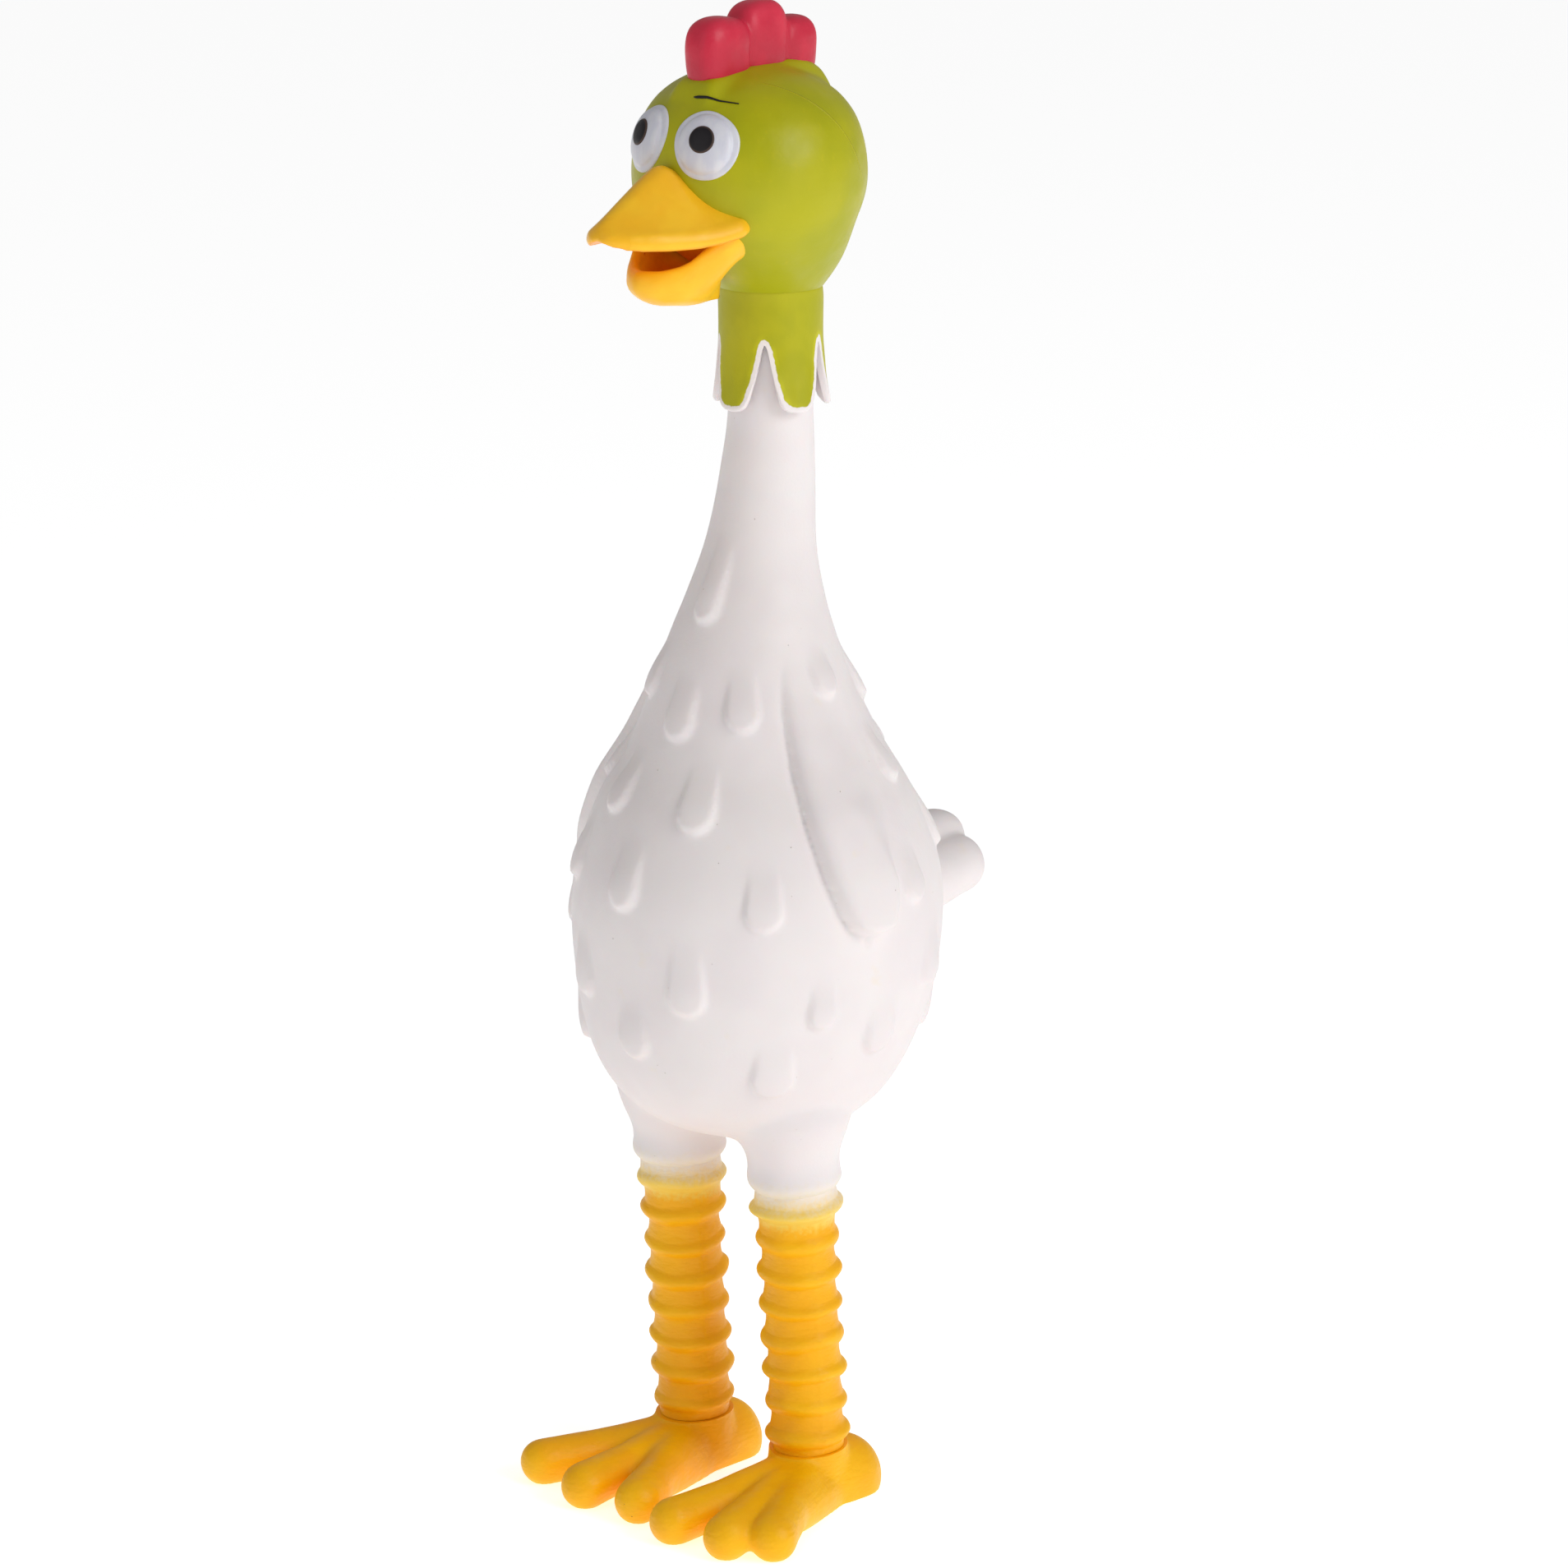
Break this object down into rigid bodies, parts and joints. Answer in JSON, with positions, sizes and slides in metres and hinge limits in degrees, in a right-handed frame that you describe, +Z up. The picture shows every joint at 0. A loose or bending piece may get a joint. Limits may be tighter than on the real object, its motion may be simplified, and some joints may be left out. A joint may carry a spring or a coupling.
{
  "type": "rubber chicken",
  "caption": "Standing rubber chicken: a hollow latex skin on bendy ringed legs, with a bending neck, open beak, comb, wings, tail and a squeaker in the belly.",
  "frame": {"origin": "on the floor, under the middle of the standing chicken's box", "axes": "+Z up, -Y the way the beak points, +X the chicken's own left side"},
  "size_m": [0.088, 0.1142, 0.34],
  "materials": {
    "white_latex": "satin, slightly speckled",
    "green_latex": "satin paint",
    "red_latex": "satin paint",
    "yellow_latex": "satin paint",
    "eye_white": "satin paint",
    "pupil_black": "satin paint",
    "fibre_filling": "loose white fibre",
    "squeaker_plastic": "milky moulded plastic"
  },
  "bodies": {
    "torso": {"body_skin": "white_latex", "body_filling": "fibre_filling", "left_wing": "white_latex", "right_wing": "white_latex", "squeaker_housing": "squeaker_plastic", "squeaker_cap": "squeaker_plastic"},
    "reed": {"squeaker_reed": "squeaker_plastic"},
    "tail": {"tail": "white_latex"},
    "lower_neck": {"lower_neck": "white_latex"},
    "upper_neck": {"upper_neck": "white_latex", "neck_ruff": "green_latex", "neck_sleeve": "green_latex"},
    "head": {"head_skin": "green_latex", "comb": "red_latex", "left_eye": "eye_white", "left_pupil": "pupil_black", "right_eye": "eye_white", "right_pupil": "pupil_black", "upper_beak": "yellow_latex"},
    "lower_beak": {"lower_beak": "yellow_latex"},
    "left_upper_leg": {"left_upper_bellows": "yellow_latex"},
    "left_lower_leg": {"left_middle_bellows": "yellow_latex"},
    "left_foot": {"left_lower_bellows": "yellow_latex", "left_foot": "yellow_latex"},
    "right_upper_leg": {"right_upper_bellows": "yellow_latex"},
    "right_lower_leg": {"right_middle_bellows": "yellow_latex"},
    "right_foot": {"right_lower_bellows": "yellow_latex", "right_foot": "yellow_latex"}
  },
  "joints": [
    {"name": "neck_bend", "type": "hinge", "parent": "torso", "child": "lower_neck", "pos_m": [-0.00064, -0.00542, 0.219], "axis": [1, 0, 0], "range_deg": [-30, 40], "stiffness_Nm_per_rad": 0.3, "deforming": ["lower_neck"]},
    {"name": "neck_sway", "type": "hinge", "parent": "lower_neck", "child": "upper_neck", "pos_m": [-0.00064, -0.00237, 0.243], "axis": [0, 1, 0], "range_deg": [-35, 35], "stiffness_Nm_per_rad": 0.25, "deforming": ["upper_neck"]},
    {"name": "head_turn", "type": "hinge", "parent": "upper_neck", "child": "head", "pos_m": [-0.00064, -0.00202, 0.271], "axis": [0, 0, 1], "range_deg": [-60, 60], "stiffness_Nm_per_rad": 0.08, "deforming": ["neck_sleeve"]},
    {"name": "beak_flex", "type": "hinge", "parent": "head", "child": "lower_beak", "pos_m": [-0.00064, -0.02282, 0.281], "axis": [1, 0, 0], "range_deg": [-8, 12], "stiffness_Nm_per_rad": 0.05, "deforming": ["lower_beak"]},
    {"name": "tail_flex", "type": "hinge", "parent": "torso", "child": "tail", "pos_m": [-0.00064, 0.03338, 0.134], "axis": [1, 0, 0], "range_deg": [-15, 15], "stiffness_Nm_per_rad": 0.08, "deforming": ["tail"]},
    {"name": "reed_flutter", "type": "hinge", "parent": "torso", "child": "reed", "pos_m": [-0.00064, 0.00636, 0.10226], "axis": [1, 0, 0], "range_deg": [-4, 4], "stiffness_Nm_per_rad": 0.00002},
    {"name": "left_hip_swing", "type": "hinge", "parent": "torso", "child": "left_upper_leg", "pos_m": [0.01716, -0.01254, 0.06376], "axis": [1, 0, 0], "range_deg": [-50, 50], "stiffness_Nm_per_rad": 1, "deforming": ["left_upper_bellows"]},
    {"name": "left_knee_sway", "type": "hinge", "parent": "left_upper_leg", "child": "left_lower_leg", "pos_m": [0.01716, -0.01082, 0.04043], "axis": [0, 1, 0], "range_deg": [-40, 3], "stiffness_Nm_per_rad": 1, "deforming": ["left_middle_bellows"]},
    {"name": "left_ankle_bend", "type": "hinge", "parent": "left_lower_leg", "child": "left_foot", "pos_m": [0.01716, -0.0094, 0.02098], "axis": [1, 0, 0], "range_deg": [-35, 35], "stiffness_Nm_per_rad": 1, "deforming": ["left_lower_bellows"]},
    {"name": "right_hip_swing", "type": "hinge", "parent": "torso", "child": "right_upper_leg", "pos_m": [-0.01844, -0.01254, 0.06376], "axis": [1, 0, 0], "range_deg": [-50, 50], "stiffness_Nm_per_rad": 1, "deforming": ["right_upper_bellows"]},
    {"name": "right_knee_sway", "type": "hinge", "parent": "right_upper_leg", "child": "right_lower_leg", "pos_m": [-0.01844, -0.01082, 0.04043], "axis": [0, 1, 0], "range_deg": [-3, 40], "stiffness_Nm_per_rad": 1, "deforming": ["right_middle_bellows"]},
    {"name": "right_ankle_bend", "type": "hinge", "parent": "right_lower_leg", "child": "right_foot", "pos_m": [-0.01844, -0.0094, 0.02098], "axis": [1, 0, 0], "range_deg": [-35, 35], "stiffness_Nm_per_rad": 1, "deforming": ["right_lower_bellows"]}
  ]
}
